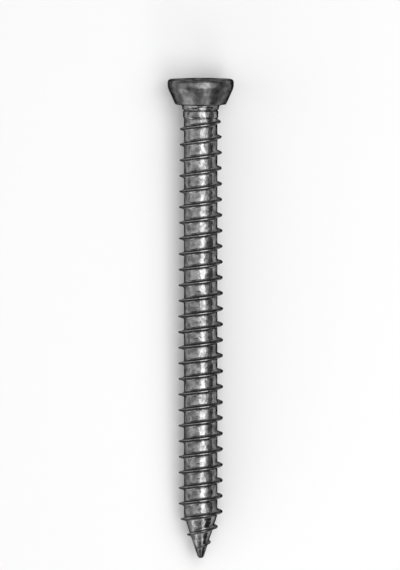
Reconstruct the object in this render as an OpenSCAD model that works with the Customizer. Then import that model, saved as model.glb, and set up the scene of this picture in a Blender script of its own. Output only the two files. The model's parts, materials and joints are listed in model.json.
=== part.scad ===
// Countersunk frame screw for masonry, forged and thread-rolled from one piece of wire.
// It is drawn along its axis, point at zero and head on top, then laid on its side as it comes to rest.

/* [Body] */
// Length over everything, from the blunt end of the point to the head's face
length = 82; // [60:1:132]
// Diameter of the short plain shank under the neck
shank_d = 6.04; // [5.8:0.02:6.3]
// Full angle of the conical point
point_angle = 36.6; // [30:0.2:46]
// Radius that blunts the end of the point
tip_round = 0.58; // [0.4:0.02:0.8]

/* [Head] */
// Diameter of the head at its rim
head_d = 11.3; // [10.6:0.1:12.4]
// Height of the head, from its face to its flat underside
head_h = 4.4; // [4:0.1:5.2]
// Full angle of the countersunk cone
head_angle = 49; // [40:1:56]
// Depth of the rim band above the cone
rim_h = 1.7; // [1.2:0.1:2.2]
// How much the rim band narrows towards the cone, on the radius
rim_draft = 0.1; // [0.04:0.02:0.16]
// Radius of the rounded edge between the face and the rim
rim_round = 0.5; // [0.3:0.05:0.8]
// Radius of the rounded corner between the cone and the underside
under_round = 0.25; // [0.1:0.05:0.4]

/* [Neck] */
// Length of the neck, from the head's underside to the ring step
neck_h = 1.1; // [0.8:0.1:1.6]
// How far the neck flares out where it meets the head, on the radius
neck_flare = 0.36; // [0.2:0.02:0.5]
// Height of the ring step that the forging die leaves at the end of the neck
ring_step = 0.08; // [0.04:0.01:0.14]
// Length of the plain shank from the ring step to the thread's shoulder
plain_h = 1.3; // [0.8:0.1:3]

/* [Thread] */
// Rise of the single right-hand thread in one turn
pitch = 2.67; // [2.3:0.01:3.2]
// Diameter over the crests of the first full turns after the point
thread_low_d = 7.5; // [7.2:0.02:7.8]
// Diameter over the crests halfway up the screw
thread_mid_d = 7.66; // [7.3:0.02:7.9]
// Diameter over the crests of the last turns before the neck
thread_top_d = 7.06; // [6.8:0.02:7.4]
// Depth of the rolled groove below the plain shank
root_depth = 0.17; // [0.1:0.01:0.24]
// Width of the flat land on the crest
crest_w = 0.16; // [0.1:0.02:0.24]
// Reach of the ridge from its centre line to its foot, on the side of the point
foot_low = 0.62; // [0.5:0.02:0.75]
// Reach of the ridge from its centre line to its foot, on the side of the head
foot_high = 0.54; // [0.45:0.02:0.7]
// Distance from the end of the point to where the ridge starts
thread_start = 1.4; // [1:0.05:2.4]
// Distance from the end of the point to where the ridge has half its height
half_height_at = 2.8; // [2.5:0.05:4]
// Turns over which the ridge runs out to nothing
runout = 0.65; // [0.4:0.05:1]
// How far the run-out reaches past the shoulder, up the plain shank
overrun = 1.3; // [0.8:0.1:1.6]

/* [Recess] */
// Six-lobe recess measured over two opposite lobes
lobe_d = 5.6; // [5.4:0.02:5.8]
// Six-lobe recess measured between two opposite flutes
flute_d = 3.95; // [3.85:0.01:4.05]
// Radius of each lobe
lobe_r = 0.45; // [0.4:0.01:0.5]
// Depth of the recess walls below the face
recess_h = 3.2; // [2.4:0.1:3.6]
// Depth of the conical floor below the walls
floor_h = 0.5; // [0.2:0.05:0.7]
// Diameter of the shallow lead-in on the face
lead_d = 6.4; // [6:0.1:7]
// Depth of the lead-in
lead_h = 0.35; // [0.2:0.05:0.6]
// Turn of the lobes about the axis
recess_turn = 45; // [0:1:59]

/* [Hidden] */
steel = [0.47, 0.48, 0.49];
// Facets of round solids, which are taken as true circles
round_fn = 96;
// Columns of the thread's surface in one turn
columns = 24;
// Segments of a rounded edge, of the neck's flare and of a lobe's arc
edge_steps = 4;
flare_steps = 4;
lobe_steps = 6;
// Rings of the ball that blunts the point
ball_rings = 3;
// Overlap that lets one solid run into the next
bury = 0.1;
// Share of the height that the fillets at the foot of the ridge reach
fillet_share = 0.24;
// Share of the foot's reach that the fillets take
fillet_reach = 0.45;
// Width of the ridge where it starts, as a share of its full width
start_width = 0.45;
// Radius of the flat spot under the recess's conical floor
floor_spot_r = 0.3;
// Ledge between the conical floor and the flutes
floor_ledge = 0.1;

// Radii
shank_r = shank_d / 2;
core_r = shank_r - root_depth;
head_r = head_d / 2;
cone_top_r = head_r - rim_draft;
cone_low_r = cone_top_r - (head_h - rim_h) * tan(head_angle / 2);

// Heights above the point
rim_z = length - 2 * rim_round;
under_z = length - head_h;
ring_z = under_z - neck_h;
shoulder_z = ring_z - plain_h;
thread_end_z = shoulder_z + overrun;
rod_top_z = under_z - bury;

// Conical point, blunted by a ball that touches the cone all round
slope_angle = point_angle / 2;
cone_end_r = tip_round * (1 - sin(slope_angle)) / cos(slope_angle);
point_h = (core_r - cone_end_r) / tan(slope_angle);

// Columns keep the round's own area, so their corners lie a little outside it
corner = sqrt(2 * PI / columns / sin(360 / columns));

// Steps of the helix, counted in columns from the level of the point's end
first_step = round(columns * thread_start / pitch);
last_step = ceil(columns * (shoulder_z + root_depth + 2 * bury + foot_low) / pitch);
steps = last_step - first_step;
// Rows across one pitch: foot, fillet, two edges of the crest, fillet, foot
rows = 6;

// Points of an arc about a centre, from one angle to another
function arc(centre, r, from, to, parts) = [
    for (i = [0:parts])
        let (a = from + (to - from) * i / parts)
        centre + r * [cos(a), sin(a)]
];

// Radius of the shank without its ridge at a height above the point
function root_r(z) = min(core_r, cone_end_r + z * tan(slope_angle));

// Full height of the ridge above the shank at a height above the point
function full_ridge(z) = lookup(z, [
    [point_h, thread_low_d / 2],
    [length / 2, thread_mid_d / 2],
    [thread_end_z, thread_top_d / 2]
]) - core_r;

// Height of the ridge, which grows along the point and runs out under the neck
function ridge(z) = full_ridge(z)
    * lookup(z, [[thread_start, 0], [half_height_at, 0.5], [point_h, 1]])
    * lookup(z, [[thread_end_z - runout * pitch, 1], [thread_end_z, 0]]);

// Width of the ridge as a share of its full width
function ridge_width(z) = start_width + (1 - start_width) * ridge(z) / full_ridge(z);

// Rows of the ridge's profile: distance along the axis at full width, and share of its height
profile = [
    [-foot_low, 0],
    [-foot_low * fillet_reach, fillet_share],
    [-crest_w / 2, 1],
    [crest_w / 2, 1],
    [foot_high * fillet_reach, fillet_share],
    [foot_high, 0]
];

// Point on the surface at a step of the helix and a row of the profile
function on_ridge(step, row) =
    let (
        centre_z = pitch * step / columns,
        z = centre_z + profile[row][0] * ridge_width(centre_z),
        r = corner * (root_r(z) + profile[row][1] * ridge(centre_z)),
        a = 360 * step / columns
    )
    [r * cos(a), r * sin(a), z];

// Point on the top edge of the last turn, which lies inside the neck
function on_top(step) =
    let (
        z = min(pitch * (step + columns) / columns - foot_low, rod_top_z),
        a = 360 * step / columns
    )
    [corner * core_r * cos(a), corner * core_r * sin(a), z];

// Ring on the ball that blunts the point, at a slope angle of its surface
function on_ball(step, slope) =
    let (a = 360 * step / columns, r = tip_round * cos(slope))
    [corner * r * cos(a), corner * r * sin(a), tip_round * (1 - sin(slope))];

// Slope angles of the rings on the ball, from the cone to the end
ball_slopes = [for (ring = [0:ball_rings - 1]) slope_angle + (90 - slope_angle) * ring / ball_rings];

// Places of the points in the list, with the turns joined row to row
top_start = (steps + 1) * rows;
ball_start = top_start + columns;
ball_end = ball_start + ball_rings * columns;
centre_end = ball_end + 1;
function at(i, j) =
    j < rows ? i * rows + j
    : i + columns <= steps ? (i + columns) * rows
    : top_start + i + columns - steps - 1;
function ball_at(ring, i) = ball_start + ring * columns + i % columns;

// Threaded rod with its point: a strip one pitch wide, wound up the axis, each turn joined to the last
module threaded_rod() {
    points = concat(
        [for (i = [0:steps]) for (j = [0:rows - 1]) on_ridge(first_step + i, j)],
        [for (i = [steps - columns + 1:steps]) on_top(first_step + i)],
        [for (slope = ball_slopes) for (i = [0:columns - 1]) on_ball(first_step + i, slope)],
        [[0, 0, 0], [0, 0, rod_top_z]]
    );
    strip = [
        for (i = [0:steps - 1]) for (j = [0:rows - 1])
            each [[at(i, j), at(i, j + 1), at(i + 1, j + 1)], [at(i, j), at(i + 1, j + 1), at(i + 1, j)]]
    ];
    // The cone below the first turn, down to the ball
    cone = [
        for (i = [0:columns - 2])
            each [[ball_at(0, i), at(i, 0), at(i + 1, 0)], [ball_at(0, i), at(i + 1, 0), ball_at(0, i + 1)]]
    ];
    // The last column of the cone, beside the edge where the strip starts
    cone_close = concat(
        [[ball_at(0, columns - 1), at(columns - 1, 0), ball_at(0, 0)]],
        [[ball_at(0, 0), at(columns - 1, 0), at(0, 0)]],
        [for (j = [0:rows - 1]) [at(0, j), at(columns - 1, 0), at(0, j + 1)]]
    );
    ball = [
        for (ring = [1:ball_rings - 1]) for (i = [0:columns - 1])
            each [
                [ball_at(ring, i), ball_at(ring - 1, i), ball_at(ring - 1, i + 1)],
                [ball_at(ring, i), ball_at(ring - 1, i + 1), ball_at(ring, i + 1)]
            ]
    ];
    end = [
        for (i = [0:columns - 1])
            [ball_end, ball_at(ball_rings - 1, i), ball_at(ball_rings - 1, i + 1)]
    ];
    top = concat(
        [for (i = [steps - columns:steps - 1]) [at(i, rows), centre_end, at(i + 1, rows)]],
        [for (j = [0:rows - 1]) [at(steps, j + 1), centre_end, at(steps, j)]]
    );
    polyhedron(points = points, faces = concat(strip, cone, cone_close, ball, end, top));
}

// Half section of the head, neck and plain shank, from the axis outwards
module blank_section() {
    flare = [
        for (i = [0:flare_steps])
            let (u = i / flare_steps)
            [shank_r + ring_step + neck_flare * u * u, ring_z + neck_h * u]
    ];
    half_angle = head_angle / 2;
    under_centre_r = cone_low_r - under_round * (1 / cos(half_angle) - tan(half_angle));
    polygon(concat(
        [[0, shoulder_z], [core_r - bury, shoulder_z], [shank_r, shoulder_z + root_depth + bury]],
        [[shank_r, ring_z]],
        flare,
        arc([under_centre_r, under_z + under_round], under_round, -90, -half_angle, edge_steps),
        [[cone_top_r, length - rim_h], [head_r, rim_z]],
        arc([head_r - rim_round, length - rim_round], rim_round, 0, 90, edge_steps),
        [[0, length]]
    ));
}

// Outline of the six-lobe recess: lobes and flutes are arcs that meet without a corner
module lobe_outline() {
    lobe_at = lobe_d / 2 - lobe_r;
    flute_half = flute_d / 2;
    flute_r = (lobe_at ^ 2 + flute_half ^ 2 - 2 * lobe_at * flute_half * cos(30) - lobe_r ^ 2)
        / (2 * (lobe_r + lobe_at * cos(30) - flute_half));
    flute_centre = (flute_half + flute_r) * [cos(30), sin(30)];
    meet = atan2(flute_centre.y, flute_centre.x - lobe_at);
    lobe = arc([lobe_at, 0], lobe_r, -meet, meet, lobe_steps);
    flute = arc(flute_centre, flute_r, 180 + meet, 240 - meet, lobe_steps);
    for_one = concat(lobe, [for (i = [1:lobe_steps - 1]) flute[i]]);
    polygon([
        for (k = [0:5])
            for (p = for_one)
                [p.x * cos(60 * k) - p.y * sin(60 * k), p.x * sin(60 * k) + p.y * cos(60 * k)]
    ]);
}

// Cone from one radius to another, carried on at the same slope by the overlap
module cone_space(h, low_r, high_r) {
    cylinder(h = h + bury, r1 = low_r, r2 = high_r + (high_r - low_r) * bury / h, $fn = round_fn);
}

// Space of the recess: lobed walls, conical floor and lead-in
module recess() {
    rotate(recess_turn)
        translate([0, 0, length - recess_h])
            linear_extrude(recess_h + bury)
                lobe_outline();
    translate([0, 0, length - recess_h - floor_h])
        cone_space(floor_h, floor_spot_r, flute_d / 2 - floor_ledge);
    translate([0, 0, length - lead_h])
        cone_space(lead_h, flute_d / 2, lead_d / 2);
}

module upright_screw() {
    union() {
        difference() {
            rotate_extrude($fn = round_fn)
                blank_section();
            recess();
        }
        threaded_rod();
    }
}

// The screw rests on its rim and on the lowest crest near the point, so its axis leans by this slope
rest_slope = min([
    for (turn = [0:floor(shoulder_z / pitch)])
        let (z = pitch * (turn + 0.25))
        (head_r - corner * (root_r(z) + ridge(z))) / (rim_z - z)
]);
rest_angle = atan(rest_slope);
// Height of the axis' zero above the floor, and half the length that the lying screw covers
lift = head_r * cos(rest_angle) - rim_z * sin(rest_angle);
half_run = (length * cos(rest_angle) + (head_r - rim_round) * sin(rest_angle)) / 2;

module screw() {
    color(steel)
        translate([0, -half_run, lift])
            rotate([rest_angle - 90, 0, 0])
                upright_screw();
}

screw();
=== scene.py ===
import json
import math

import bpy
import numpy as np
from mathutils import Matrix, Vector


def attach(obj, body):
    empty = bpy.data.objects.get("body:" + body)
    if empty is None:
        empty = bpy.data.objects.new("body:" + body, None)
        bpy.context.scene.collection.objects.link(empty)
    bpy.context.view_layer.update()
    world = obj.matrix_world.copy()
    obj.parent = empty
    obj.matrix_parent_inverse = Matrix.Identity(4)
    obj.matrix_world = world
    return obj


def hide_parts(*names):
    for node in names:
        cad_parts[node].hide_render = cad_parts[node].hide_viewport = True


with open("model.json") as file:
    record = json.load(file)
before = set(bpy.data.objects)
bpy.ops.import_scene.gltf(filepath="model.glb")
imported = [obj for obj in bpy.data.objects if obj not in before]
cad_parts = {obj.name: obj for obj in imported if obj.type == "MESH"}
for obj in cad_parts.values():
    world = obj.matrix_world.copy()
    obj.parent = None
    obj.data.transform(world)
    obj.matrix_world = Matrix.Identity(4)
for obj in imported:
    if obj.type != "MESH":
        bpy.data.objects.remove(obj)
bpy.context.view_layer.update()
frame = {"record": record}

# Where the screw lies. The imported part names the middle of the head's face and the way
# the axis points there, so everything below is drawn along that axis and needs no fitting.
face_mount = next(m for m in frame["record"]["mounts"] if m["name"] == "drive_recess")
axis = np.array(face_mount["axis"]) / np.linalg.norm(face_mount["axis"])
across = np.array([1.0, 0.0, 0.0])
downwards = np.cross(axis, across)
MM = 0.001
length = 82.0
point_end = np.array(face_mount["pos_m"]) - length * MM * axis


def on_screw(r, turn, z):
    """A point at radius r, at an angle of turn radians about the axis and z above the point, all in mm.

    It is the point's end plus r times the cosine across, r times the sine downwards and z along the axis.
    """
    r, turn, z = np.broadcast_arrays(r, turn, z)
    out = (r * np.cos(turn))[..., None] * across + (r * np.sin(turn))[..., None] * downwards
    return point_end + MM * (out + z[..., None] * axis)


# The camera looks down on the screw, with the head at the top of the picture. A long lens
# keeps the two ends at one scale, and it leans a little, so that the head's face shows as a line.
image_width, image_height = 400, 570
head_top_row, point_row, axis_column = 78.8, 558.7, 200.7
mm_per_pixel = length * axis[1] / (point_row - head_top_row)
camera_distance = 2.0
camera_lean = math.radians(1.6)
middle_z = (point_row - image_height / 2) / (point_row - head_top_row) * length
aim = on_screw(0.0, 0.0, middle_z) - (axis_column - image_width / 2) * mm_per_pixel * MM * across
back = Vector((0.0, math.sin(camera_lean), math.cos(camera_lean)))
camera = bpy.data.objects.new("camera", bpy.data.cameras.new("camera"))
camera.data.sensor_width = 36.0
camera.data.lens = camera.data.sensor_width * camera_distance / (image_height * mm_per_pixel * MM)
camera.location = Vector(aim) + camera_distance * back
camera.rotation_euler = (-camera_lean, 0.0, 0.0)
bpy.context.collection.objects.link(camera)
bpy.context.scene.camera = camera

# The screw. One piece of steel wire: the head, neck and recess are cold forged, the thread
# and the point are rolled, and the whole is zinc plated. Its skin is one closed mesh, drawn
# in order from the thread over the neck, head and recess to the ball on the point.
columns = 84
pitch = 2.67
core_r, shank_r = 2.85, 3.02
point_slope, point_ball = math.radians(18.3), 0.58
point_end_r = point_ball * (1 - math.sin(point_slope)) / math.cos(point_slope)
point_h = (core_r - point_end_r) / math.tan(point_slope)
shoulder_z, shoulder_h = 75.2, 0.3
thread_from_z, half_height_z = 1.4, 2.8
crest_low_r, crest_mid_r, crest_top_r = 3.75, 3.83, 3.53
runout_from_z, runout_to_z = 74.6, 76.3
join_z = 76.4


def root_r(z):
    """Radius under the ridge: the cone of the point, the rolled core, then up to the plain shank.

    The cone and the core meet in a soft minimum, and the shoulder is a smooth step.
    """
    cone = point_end_r + z * math.tan(point_slope)
    blend = 0.08
    core = 0.5 * (cone + core_r) - 0.5 * np.sqrt((cone - core_r) ** 2 + blend ** 2)
    u = np.clip((z - shoulder_z) / shoulder_h, 0, 1)
    return core + (shank_r - core_r) * u * u * (3 - 2 * u)


def ridge_h(z):
    """Height of the ridge: crest radius over the core, grown along the point and run out at the neck.

    The run-out is the square of the way still to go. Rolling leaves the crest a little uneven, which
    is the product of two slow sine waves.
    """
    uneven = 0.02
    crest = np.interp(z, [point_h, length / 2, runout_to_z], [crest_low_r, crest_mid_r, crest_top_r])
    crest = crest + uneven * np.sin(2.1 * z) * np.sin(0.73 * z + 1.0)
    grown = np.interp(z, [thread_from_z, half_height_z, point_h], [0.0, 0.5, 1.0])
    out = np.clip((z - runout_from_z) / (runout_to_z - runout_from_z), 0, 1)
    return (crest - core_r) * grown * (1 - out) ** 2


def rounded_line(corners, cuts, parts):
    """Points along a broken line with each corner rounded.

    A corner is cut off at its own distance on both sides, and a parabola joins the two cuts.
    """
    corners = np.array(corners, float)
    before, at, after = corners[:-2], corners[1:-1], corners[2:]
    cuts = np.array(cuts, float)[:, None]

    def cut(towards):
        way = towards - at
        far = np.linalg.norm(way, axis=1, keepdims=True)
        return at + way * np.minimum(cuts / far, 0.5)

    start, end = cut(before), cut(after)
    t = np.linspace(0, 1, parts)[None, :, None]
    points = (1 - t) ** 2 * start[:, None] + 2 * t * (1 - t) * at[:, None] + t ** 2 * end[:, None]
    return points.reshape(-1, 2)


# Ridge profile: distance along the axis from its centre, and share of its height. The fillets at the
# feet reach a fifth of the height, at a little over half the way from the centre to the foot.
foot_low, foot_high, crest_half = -0.46, 0.50, 0.09
fillet_low, fillet_high, fillet_share, beyond_foot = 0.62, 0.56, 0.20, 0.3
ridge_rows = rounded_line(
    [(foot_low - beyond_foot, 0), (foot_low, 0), (foot_low * fillet_low, fillet_share), (-crest_half, 1),
     (crest_half, 1), (foot_high * fillet_high, fillet_share), (foot_high, 0), (foot_high + beyond_foot, 0)],
    [0.12, 0.10, 0.04, 0.04, 0.13, 0.13], 4)
groove_parts = 11
rows = len(ridge_rows) + groove_parts - 1
first_column = round(columns * thread_from_z / pitch)
last_column = round(columns * (runout_to_z - 0.02) / pitch)
steps = last_column - first_column


def thread_strip():
    """Heights and radii of the strip that winds up the axis, one row of points for each column.

    Across the strip come the ridge's profile and then the groove up to the next turn's foot, where a
    second ridge a few hundredths high runs midway. The last turn ends in a level ring at the join.
    """
    start_width, low_ridge_h, low_ridge_half, calm_over = 0.30, 0.02, 0.22, 2
    column = np.arange(first_column, last_column + 1)[:, None]
    centre = pitch * column / columns
    full = np.maximum(ridge_h(centre) / (ridge_h(np.clip(centre, point_h, runout_from_z))), 0.0)
    width = start_width + (1 - start_width) * np.clip(full, 0, 1)
    ridge_z = centre + ridge_rows[None, :, 0] * width
    ridge_r = root_r(ridge_z) + ridge_rows[None, :, 1] * ridge_h(centre)
    foot = ridge_z[:, -1:]
    next_foot = np.full_like(foot, join_z)
    next_foot[:-columns] = ridge_z[columns:, :1]
    share = np.arange(1, groove_parts)[None, :] / groove_parts
    groove_z = foot + (next_foot - foot) * share
    low_ridge = low_ridge_h * np.cos(math.pi * np.clip((share - 0.5) / low_ridge_half, -0.5, 0.5)) ** 2
    calm = (np.clip((groove_z - point_h) / calm_over, 0, 1)
            * np.clip((shoulder_z - groove_z) / calm_over, 0, 1))
    groove_r = root_r(groove_z) + low_ridge * calm
    return np.hstack([ridge_z, groove_z]), np.hstack([ridge_r, groove_r])


def strip_index(i, j):
    """Place of the point at column i and row j. Past the last row it is the first row, one turn on."""
    i, j = np.broadcast_arrays(i, j)
    on_join = (steps + 1) * rows + i + columns - steps - 1
    next_turn = np.where(i + columns <= steps, (i + columns) * rows, on_join)
    return np.where(j < rows, i * rows + j, next_turn)


# Head and neck
under_z, ring_z = length - 4.4, length - 5.35
head_r, cone_top_r, cone_slope, cone_h = 5.65, 5.55, math.radians(24.5), 2.7
cone_top_z, rim_z = length - 1.7, length - 1.15
ring_depth, ring_top, flare_low, flare_line, flare_lift = 0.15, 0.13, 0.08, 0.10, 0.26
lead_r, lead_h = 3.2, 0.35


def head_rows():
    """Half section from the join over the neck, head and face to the lead-in, as heights and radii.

    The ring is a shallow groove with a step above it. The flare is a straight line plus a fourth
    power that lifts it to the head's underside, and the head is a broken line with rounded corners.
    """
    ring = np.array([(shank_r, ring_z - 0.22), (shank_r - 0.03, ring_z - 0.18),
                     (shank_r - ring_depth, ring_z - 0.07), (shank_r - ring_depth, ring_z + 0.01),
                     (shank_r + 0.05, ring_z + 0.12)])
    neck = np.linspace(0, 1, 7)[:-1]
    flare_r = shank_r + flare_low + flare_line * neck + flare_lift * neck ** 4
    flare = np.stack([flare_r, ring_z + ring_top + (under_z - ring_z - ring_top) * neck], axis=1)
    cone_low_r = cone_top_r - cone_h * math.tan(cone_slope)
    head = rounded_line(
        [(shank_r + 0.30, under_z - 0.25), (shank_r + 0.44, under_z), (cone_low_r, under_z),
         (cone_top_r, cone_top_z), (head_r, rim_z), (head_r, length), (lead_r, length),
         (2.9, length - 0.1)],
        [0.07, 0.3, 0.4, 0.2, 0.8, 0.05], 6)
    return np.vstack([ring, flare, head])


# Recess
lobe_round, lobe_at, flute_half = 0.45, 2.35, 1.975
recess_turn = math.radians(45)
recess_h, floor_h, floor_r, spot_r = 3.2, 0.48, 1.875, 0.3


def lobe_r(turn):
    """Radius of the six-lobe outline at an angle about the axis.

    Within a lobe it is the far crossing of the ray with the lobe's circle, and between two lobes it is
    the near crossing with the flute's circle. The two circles touch.
    """
    cos30 = math.cos(math.radians(30))
    flute = (lobe_at ** 2 + flute_half ** 2 - 2 * lobe_at * flute_half * cos30 - lobe_round ** 2) / (
        2 * (lobe_round + lobe_at * cos30 - flute_half))
    flute_at = flute_half + flute
    meet = math.atan2(flute_at / 2, flute_at * cos30 - lobe_at)
    meet_turn = math.atan2(lobe_round * math.sin(meet), lobe_at + lobe_round * math.cos(meet))
    phi = np.abs((turn - recess_turn + math.pi / 6) % (math.pi / 3) - math.pi / 6)
    lobe_depth = np.maximum(lobe_round ** 2 - (lobe_at * np.sin(phi)) ** 2, 0)
    in_lobe = lobe_at * np.cos(phi) + np.sqrt(lobe_depth)
    beside = math.pi / 6 - phi
    flute_depth = np.maximum(flute ** 2 - (flute_at * np.sin(beside)) ** 2, 0)
    in_flute = flute_at * np.cos(beside) - np.sqrt(flute_depth)
    return np.where(phi < meet_turn, in_lobe, in_flute)


def recess_rings(turn):
    """Radii and heights of the recess at each angle, from the lead-in to the flat spot in its floor.

    The lead-in falls in a cone to the lobed edge, which is broken by a hundredth of a millimetre, the
    walls go straight down, and the floor is a cone.
    """
    wall = lobe_r(turn)
    drop = lead_h / (lead_r - flute_half)
    edge_z = length - (lead_r - wall) * drop
    floor_z = length - recess_h
    rings = []
    for share in (0.35, 0.7, 0.94):
        r = lead_r + (wall - lead_r) * share
        rings.append((r, length - (lead_r - r) * drop))
    rings.append((wall + 0.004, edge_z - 0.012))
    for depth in (0.06, 0.5, 1.6, 3.15):
        rings.append((wall, np.minimum(edge_z - 0.03, length - lead_h - depth + 0.06)))
    rings.append((wall - 0.03, np.full_like(wall, floor_z)))
    for share in (0.0, 0.3, 0.6, 1.0):
        r = floor_r + (spot_r - floor_r) * share
        rings.append((np.full_like(wall, r), np.full_like(wall, floor_z - 0.02 - floor_h * share)))
    return rings


# Points, in this order: thread, rings from the join to the recess's floor, its middle, ball, its end
strip_z, strip_r = thread_strip()
strip_turn = 2 * math.pi * np.arange(first_column, last_column + 1)[:, None] / columns
ring_turn = 2 * math.pi * (last_column + 1 + np.arange(columns)) / columns
points = [on_screw(strip_r, strip_turn, strip_z).reshape(-1, 3)]
rings = [(np.full(columns, root_r(join_z)), np.full(columns, join_z))]
rings += [(np.full(columns, r), np.full(columns, z)) for r, z in head_rows()]
neck_rings = sum(z.max() < under_z for r, z in rings)
rim_rings = next(k for k, (r, z) in enumerate(rings) if z.max() > length - 0.001)
rings += recess_rings(ring_turn)
points += [on_screw(r, ring_turn, z) for r, z in rings]
points.append(on_screw(0.0, 0.0, rings[-1][1][0])[None])
first_ring = (steps + 1) * rows
face_centre = first_ring + len(rings) * columns
ball_turn = 2 * math.pi * (first_column + np.arange(columns)) / columns
ball_slopes = np.linspace(point_slope, math.pi / 2, 7)[:-1]
points += [on_screw(point_ball * math.cos(s), ball_turn, point_ball * (1 - math.sin(s)))
           for s in ball_slopes]
points.append(on_screw(0.0, 0.0, 0.0)[None])
first_ball = face_centre + 1
ball_centre = first_ball + len(ball_slopes) * columns

# Faces of four corners: thread, rings, ball, and the cone between the ball and the first turn
i, j = np.meshgrid(np.arange(steps), np.arange(rows), indexing="ij")
strip_faces = np.stack(
    [strip_index(i, j), strip_index(i + 1, j), strip_index(i + 1, j + 1), strip_index(i, j + 1)], -1)
k, c = np.meshgrid(np.arange(len(rings) - 1), np.arange(columns), indexing="ij")
low, high = first_ring + k * columns, first_ring + (k + 1) * columns
ring_faces = np.stack([low + c, low + (c + 1) % columns, high + (c + 1) % columns, high + c], -1)
k, c = np.meshgrid(np.arange(len(ball_slopes) - 1), np.arange(columns), indexing="ij")
low, high = first_ball + (k + 1) * columns, first_ball + k * columns
ball_faces = np.stack([low + c, low + (c + 1) % columns, high + (c + 1) % columns, high + c], -1)
i = np.arange(columns - 1)
cone_faces = np.stack([first_ball + i, first_ball + i + 1, strip_index(i + 1, 0), strip_index(i, 0)], -1)
quads = np.concatenate([f.reshape(-1, 4) for f in (strip_faces, ring_faces, ball_faces, cone_faces)])

# Faces of three corners: where the strip starts and ends, and the fans that close floor and ball
j = np.arange(rows)
last = columns - 1
start_fan = np.stack([strip_index(last, 0) + 0 * j, strip_index(0, j), strip_index(0, j + 1)], -1)
start_fan = np.vstack([start_fan, [(first_ball + last, first_ball, strip_index(last, 0)),
                                   (first_ball, strip_index(0, 0), strip_index(last, 0))]])
end_fan = np.stack([strip_index(steps, j), first_ring + 0 * j, strip_index(steps, j + 1)], -1)
c = np.arange(columns)
next_c = (c + 1) % columns
face_fan = np.stack([face_centre - columns + c, face_centre - columns + next_c, face_centre + 0 * c], -1)
point_fan = np.stack([ball_centre + 0 * c, ball_centre - columns + next_c, ball_centre - columns + c], -1)
triangles = np.concatenate([start_fan, end_fan, face_fan, point_fan])

mesh = bpy.data.meshes.new("screw_skin")
mesh.from_pydata(np.concatenate(points).tolist(), [], quads.tolist() + triangles.tolist())
mesh.validate()
mesh.shade_smooth()

# Where each finish lies, as shares from 0 to 1: the ridge's flanks, the top of its crest, the forged
# head, whose face is lighter, and the last millimetres of the point, which carry a painted shade.
ridge_share = np.zeros(len(mesh.vertices))
ridge_share[:first_ring] = np.tile(
    np.concatenate([ridge_rows[:, 1], np.zeros(groove_parts - 1)]), steps + 1)
head_share = np.zeros(len(mesh.vertices))
head_share[first_ring + neck_rings * columns:face_centre + 1] = 1.0
head_share[first_ring + rim_rings * columns:face_centre + 1] = 0.3
along = np.concatenate(points)[:, 1]
# The painted shade at the point: full over the first millimetre, fading out by 3 mm up.
end_from, end_over = 3.0 * MM, 2.0 * MM
shares = {
    "flank": np.clip(ridge_share / 0.25, 0, 1),
    "crest": np.clip(5 * ridge_share - 4, 0, 1),
    "head": head_share,
    "end": np.clip((along.min() + end_from - along) / end_over, 0, 1),
}
for name, values in shares.items():
    mesh.attributes.new(name, "FLOAT", "POINT").data.foreach_set("value", values)
screw = bpy.data.objects.new("screw_skin", mesh)
bpy.context.collection.objects.link(screw)
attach(screw, "root")
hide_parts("screw")


def linear(hex_colour):
    """The linear colour of an sRGB hex value, by the sRGB curve on each channel."""
    srgb = np.array([int(hex_colour[k:k + 2], 16) for k in (1, 3, 5)]) / 255
    return (*np.where(srgb <= 0.04045, srgb / 12.92, ((srgb + 0.055) / 1.055) ** 2.4), 1.0)


def add(tree, kind, inputs=None, **settings):
    """Adds a node to a tree, sets its properties, and sets each input to a value or a link."""
    node = tree.nodes.new(kind)
    for name, value in settings.items():
        setattr(node, name, value)
    for name, value in (inputs or {}).items():
        if isinstance(value, bpy.types.NodeSocket):
            tree.links.new(value, node.inputs[name])
        else:
            node.inputs[name].default_value = value
    return node


# Zinc plate on rolled and forged steel: a mid-grey metal, between a mirror and satin on the rolled
# core and crest, duller on the ridge's flanks and the forged head. The very point is darkened by a
# painted shade. The plating bath leaves a mottle about a millimetre wide, with shallow waves under
# it. The grain of the rolls is too fine to show in the picture, so it is drawn coarser, at a third
# of a millimetre.
mottle_width, grain_width = 1.0 * MM, 0.35 * MM
waves_depth, grain_depth = 0.11 * MM, 0.006 * MM
zinc = bpy.data.materials.new("zinc plate, rolled and forged")
zinc.use_nodes = True
tree = zinc.node_tree
tree.nodes.clear()
place = add(tree, "ShaderNodeTexCoord").outputs["Object"]
flank = add(tree, "ShaderNodeAttribute", attribute_name="flank").outputs["Fac"]
crest = add(tree, "ShaderNodeAttribute", attribute_name="crest").outputs["Fac"]
head = add(tree, "ShaderNodeAttribute", attribute_name="head").outputs["Fac"]
end = add(tree, "ShaderNodeAttribute", attribute_name="end").outputs["Fac"]
mottle = add(tree, "ShaderNodeTexNoise", {
    "Vector": place, "Scale": 1 / mottle_width, "Detail": 2.0, "Roughness": 0.5}).outputs["Fac"]
spots = add(tree, "ShaderNodeMapRange", {
    "Value": mottle, "From Min": 0.36, "From Max": 0.64}).outputs["Result"]
grain = add(tree, "ShaderNodeTexNoise", {
    "Vector": place, "Scale": 1 / grain_width, "Detail": 3.0, "Roughness": 0.5}).outputs["Fac"]
rolled = add(tree, "ShaderNodeMix", {
    "Factor": spots, "A": linear("#646464"), "B": linear("#949494")}, data_type="RGBA")
forged = add(tree, "ShaderNodeMix", {
    "Factor": spots, "A": linear("#545454"), "B": linear("#747474")}, data_type="RGBA")
colour = add(tree, "ShaderNodeMix", {
    "Factor": flank, "A": rolled.outputs["Result"], "B": linear("#909090")}, data_type="RGBA")
colour = add(tree, "ShaderNodeMix", {
    "Factor": crest, "A": colour.outputs["Result"], "B": linear("#787878")}, data_type="RGBA")
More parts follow.
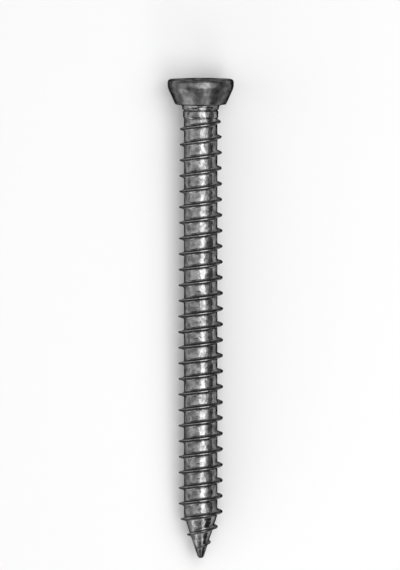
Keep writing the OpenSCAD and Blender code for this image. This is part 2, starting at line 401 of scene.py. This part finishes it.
# Painted shade: the last millimetres of the point are mixed towards a dark grey.
colour = add(tree, "ShaderNodeMix", {
    "Factor": end, "A": colour.outputs["Result"], "B": linear("#404040")}, data_type="RGBA")
colour = add(tree, "ShaderNodeMix", {
    "Factor": head, "A": colour.outputs["Result"], "B": forged.outputs["Result"]}, data_type="RGBA")
rough = add(tree, "ShaderNodeMapRange", {"Value": flank, "To Min": 0.20, "To Max": 0.46})
rough = add(tree, "ShaderNodeMix", {"Factor": crest, "A": rough.outputs["Result"], "B": 0.18})
rough = add(tree, "ShaderNodeMix", {"Factor": head, "A": rough.outputs["Result"], "B": 0.31})
calm = add(tree, "ShaderNodeMapRange", {"Value": head, "To Min": 1.0, "To Max": 0.55})
waves = add(tree, "ShaderNodeBump", {
    "Height": mottle, "Strength": calm.outputs["Result"], "Distance": waves_depth})
bumps = add(tree, "ShaderNodeBump", {
    "Height": grain, "Strength": 1.0, "Distance": grain_depth, "Normal": waves.outputs["Normal"]})
skin = add(tree, "ShaderNodeBsdfPrincipled", {
    "Base Color": colour.outputs["Result"], "Metallic": 1.0, "Roughness": rough.outputs["Result"],
    "Specular Tint": (0.05, 0.05, 0.05, 1.0), "Normal": bumps.outputs["Normal"]})
add(tree, "ShaderNodeOutputMaterial", {"Surface": skin.outputs["BSDF"]})
mesh.materials.append(zinc)

# The floor: a plain sheet of white card, large enough for every view. It lies a hair below the
# screw, and keeps its shadow.
floor_half, floor_below = 1.2, 0.02 * MM
floor_mesh = bpy.data.meshes.new("floor")
corner = floor_half * np.array([(-1, -1, 0), (1, -1, 0), (1, 1, 0), (-1, 1, 0)])
floor_mesh.from_pydata(corner.tolist(), [], [(0, 1, 2, 3)])
floor = bpy.data.objects.new("floor", floor_mesh)
floor.location.z = -floor_below
bpy.context.collection.objects.link(floor)
card = bpy.data.materials.new("white card")
card.use_nodes = True
tree = card.node_tree
tree.nodes.clear()
matt = add(tree, "ShaderNodeBsdfDiffuse", {"Color": linear("#ECECEC")})
add(tree, "ShaderNodeOutputMaterial", {"Surface": matt.outputs["BSDF"]})
floor_mesh.materials.append(card)

# Studio light. A narrow strip a little to the right of the camera draws the bright line down the
# shank, with a wider, dimmer one round it for its soft edges. A broad panel fills the left side and
# a weak one the right. The others shine along the screw from both ends, for the cones of head and
# point and the ridge's flanks. The room round them is dark grey.
target = Vector((0.0, 0.0, 0.004))


def lamp(name, to_right, to_head, distance, width, depth, radiance):
    """A rectangular lamp that faces the screw, turned from straight above to the right and to the head.

    Its power is its radiance times pi times its area.
    """
    data = bpy.data.lights.new(name, "AREA")
    data.shape = "RECTANGLE"
    data.size, data.size_y = width, depth
    data.energy = radiance * math.pi * width * depth
    piece = bpy.data.objects.new(name, data)
    piece.rotation_mode = "YXZ"
    piece.rotation_euler = (-math.radians(to_head), math.radians(to_right), 0.0)
    piece.location = target + piece.rotation_euler.to_matrix() @ Vector((0.0, 0.0, distance))
    piece.visible_camera = False
    bpy.context.collection.objects.link(piece)


lamp("strip", 14.5, 4.0, 0.40, 0.25, 0.42, 2.95)
lamp("round_strip", 16.5, 4.0, 0.41, 0.56, 0.34, 1.0)
lamp("left_panel", -49.0, 2.0, 0.50, 0.72, 0.32, 1.04)
lamp("right_panel", 60.0, 0.0, 0.50, 0.30, 0.40, 0.2)
lamp("head_panel", 0.0, 62.0, 0.50, 0.50, 0.16, 1.7)
lamp("point_panel", -44.0, -74.0, 0.50, 0.46, 0.22, 2.2)
lamp("point_strip", 18.0, -59.0, 0.50, 0.18, 0.44, 2.0)
lamp("point_fill", -14.0, -62.0, 0.52, 0.50, 0.34, 0.65)
world = bpy.data.worlds.new("room")
world.use_nodes = True
world.node_tree.nodes["Background"].inputs["Color"].default_value = linear("#FFFFFF")
world.node_tree.nodes["Background"].inputs["Strength"].default_value = 0.06
bpy.context.scene.world = world
bpy.context.scene.view_settings.view_transform = "Standard"
